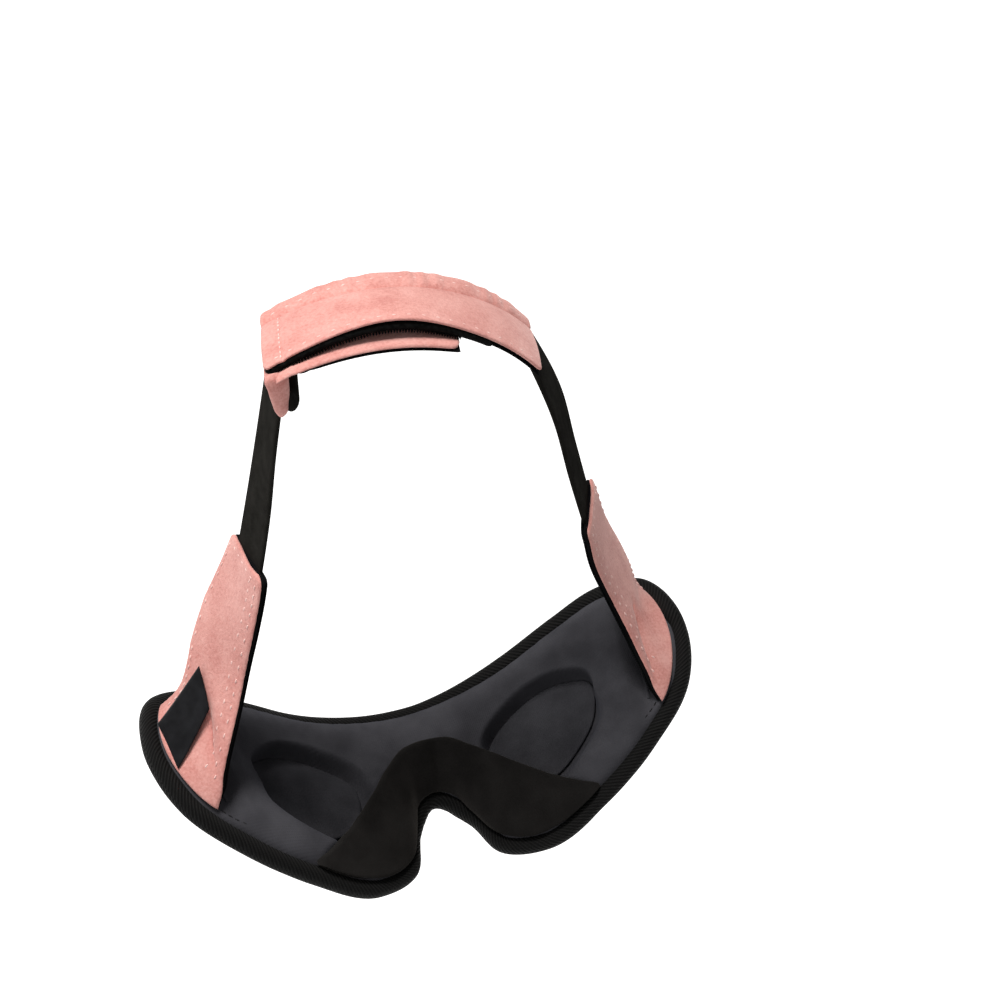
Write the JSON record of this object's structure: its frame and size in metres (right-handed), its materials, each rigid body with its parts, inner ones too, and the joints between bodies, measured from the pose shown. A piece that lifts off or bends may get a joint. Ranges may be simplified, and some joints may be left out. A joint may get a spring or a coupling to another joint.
{
  "type": "eye massager mask",
  "caption": "Padded contoured eye mask with two deep cups, nose flap, massage module, side wings, elastics and a hook-and-loop back strap.",
  "frame": {"origin": "on the mask's middle surface over the bridge of the nose", "axes": "+Z from the mask towards the head, +Y towards the forehead, +X along the mask to the side without the label"},
  "size_m": [0.2026, 0.1186, 0.2094],
  "materials": {
    "pink_velvet": "short pile",
    "black_lining": "smooth knit",
    "cup_fabric": "fine brushed knit",
    "flap_fabric": "matte knit",
    "binding_tape": "ribbed twill",
    "elastic_web": "woven elastic",
    "strap_lining": "brushed knit",
    "hook_tape": "moulded hooks on woven tape",
    "foam": "open-cell foam",
    "label_satin": "satin",
    "case_plastic": "moulded",
    "soft_touch": "soft-touch",
    "board": "solder mask",
    "cell_wrap": "foil pouch",
    "steel": "stamped",
    "light_pipe": "frosted",
    "lead_film": "polyimide film"
  },
  "bodies": {
    "mask": {"edge_binding": "binding_tape", "foam_core": "foam", "inner_lining": "black_lining", "front_cover": "pink_velvet", "left_cup_floor": "cup_fabric", "right_cup_floor": "cup_fabric", "nose_flap_backing": "flap_fabric", "nose_flap_padding": "foam", "nose_flap_facing": "flap_fabric", "left_wing_anchor": "strap_lining", "right_wing_anchor": "strap_lining", "module_front_case": "case_plastic", "module_rear_case": "case_plastic", "circuit_board": "board", "battery": "cell_wrap", "snap_dome": "steel", "charge_light": "light_pipe", "usb_socket": "steel", "control_bezel": "soft_touch", "left_motor": "steel", "right_motor": "steel", "left_motor_lead": "lead_film", "right_motor_lead": "lead_film"},
    "power_button": {"power_button": "soft_touch"},
    "left_strap": {"left_wing_outer": "pink_velvet", "left_wing_padding": "foam", "left_wing_lining": "strap_lining", "left_elastic": "elastic_web", "side_label": "label_satin"},
    "right_strap": {"right_wing_outer": "pink_velvet", "right_wing_padding": "foam", "right_wing_lining": "strap_lining", "right_elastic": "elastic_web"},
    "back_strap": {"back_strap_pile": "pink_velvet", "back_strap_lining": "strap_lining"},
    "strap_tail": {"strap_tail_outer": "pink_velvet", "strap_tail_lining": "strap_lining"},
    "hook_tab": {"hook_tab_outer": "pink_velvet", "hook_patch": "hook_tape"}
  },
  "joints": [
    {"name": "right_strap_swing", "type": "hinge", "parent": "mask", "child": "right_strap", "pos_m": [0.08524, 0.00825, 0.04499], "axis": [0.1968, 0.9721, 0.1278], "range_deg": [0, 45]},
    {"name": "left_strap_swing", "type": "hinge", "parent": "mask", "child": "left_strap", "pos_m": [-0.08524, 0.00825, 0.04499], "axis": [0.1968, -0.9721, -0.1278], "range_deg": [0, 45]},
    {"name": "right_elastic_stretch", "type": "slide", "parent": "right_strap", "child": "strap_tail", "axis": [0, 0.2756, 0.9613], "range_m": [0, 0.03], "stiffness_N_per_m": 60, "deforming": ["right_elastic"]},
    {"name": "left_elastic_stretch", "type": "slide", "parent": "left_strap", "child": "back_strap", "axis": [0, 0.2756, 0.9613], "range_m": [0, 0.03], "stiffness_N_per_m": 60, "deforming": ["left_elastic"]},
    {"name": "hook_tab_peel", "type": "hinge", "parent": "strap_tail", "child": "hook_tab", "pos_m": [0.02334, 0.05846, 0.18155], "axis": [0.2588, 0.9285, -0.2662], "range_deg": [0, 72]},
    {"name": "power_button_press", "type": "slide", "parent": "mask", "child": "power_button", "axis": [0, 0, 1], "range_m": [0, 0.0005], "stiffness_N_per_m": 1500, "deforming": ["snap_dome"]}
  ],
  "couplings": [
    {"joint": "left_strap_swing", "follows": "right_strap_swing", "ratio": 1},
    {"joint": "hook_tab_peel", "follows": "right_strap_swing", "ratio": 1.6},
    {"joint": "left_elastic_stretch", "follows": "right_elastic_stretch", "ratio": 1}
  ]
}
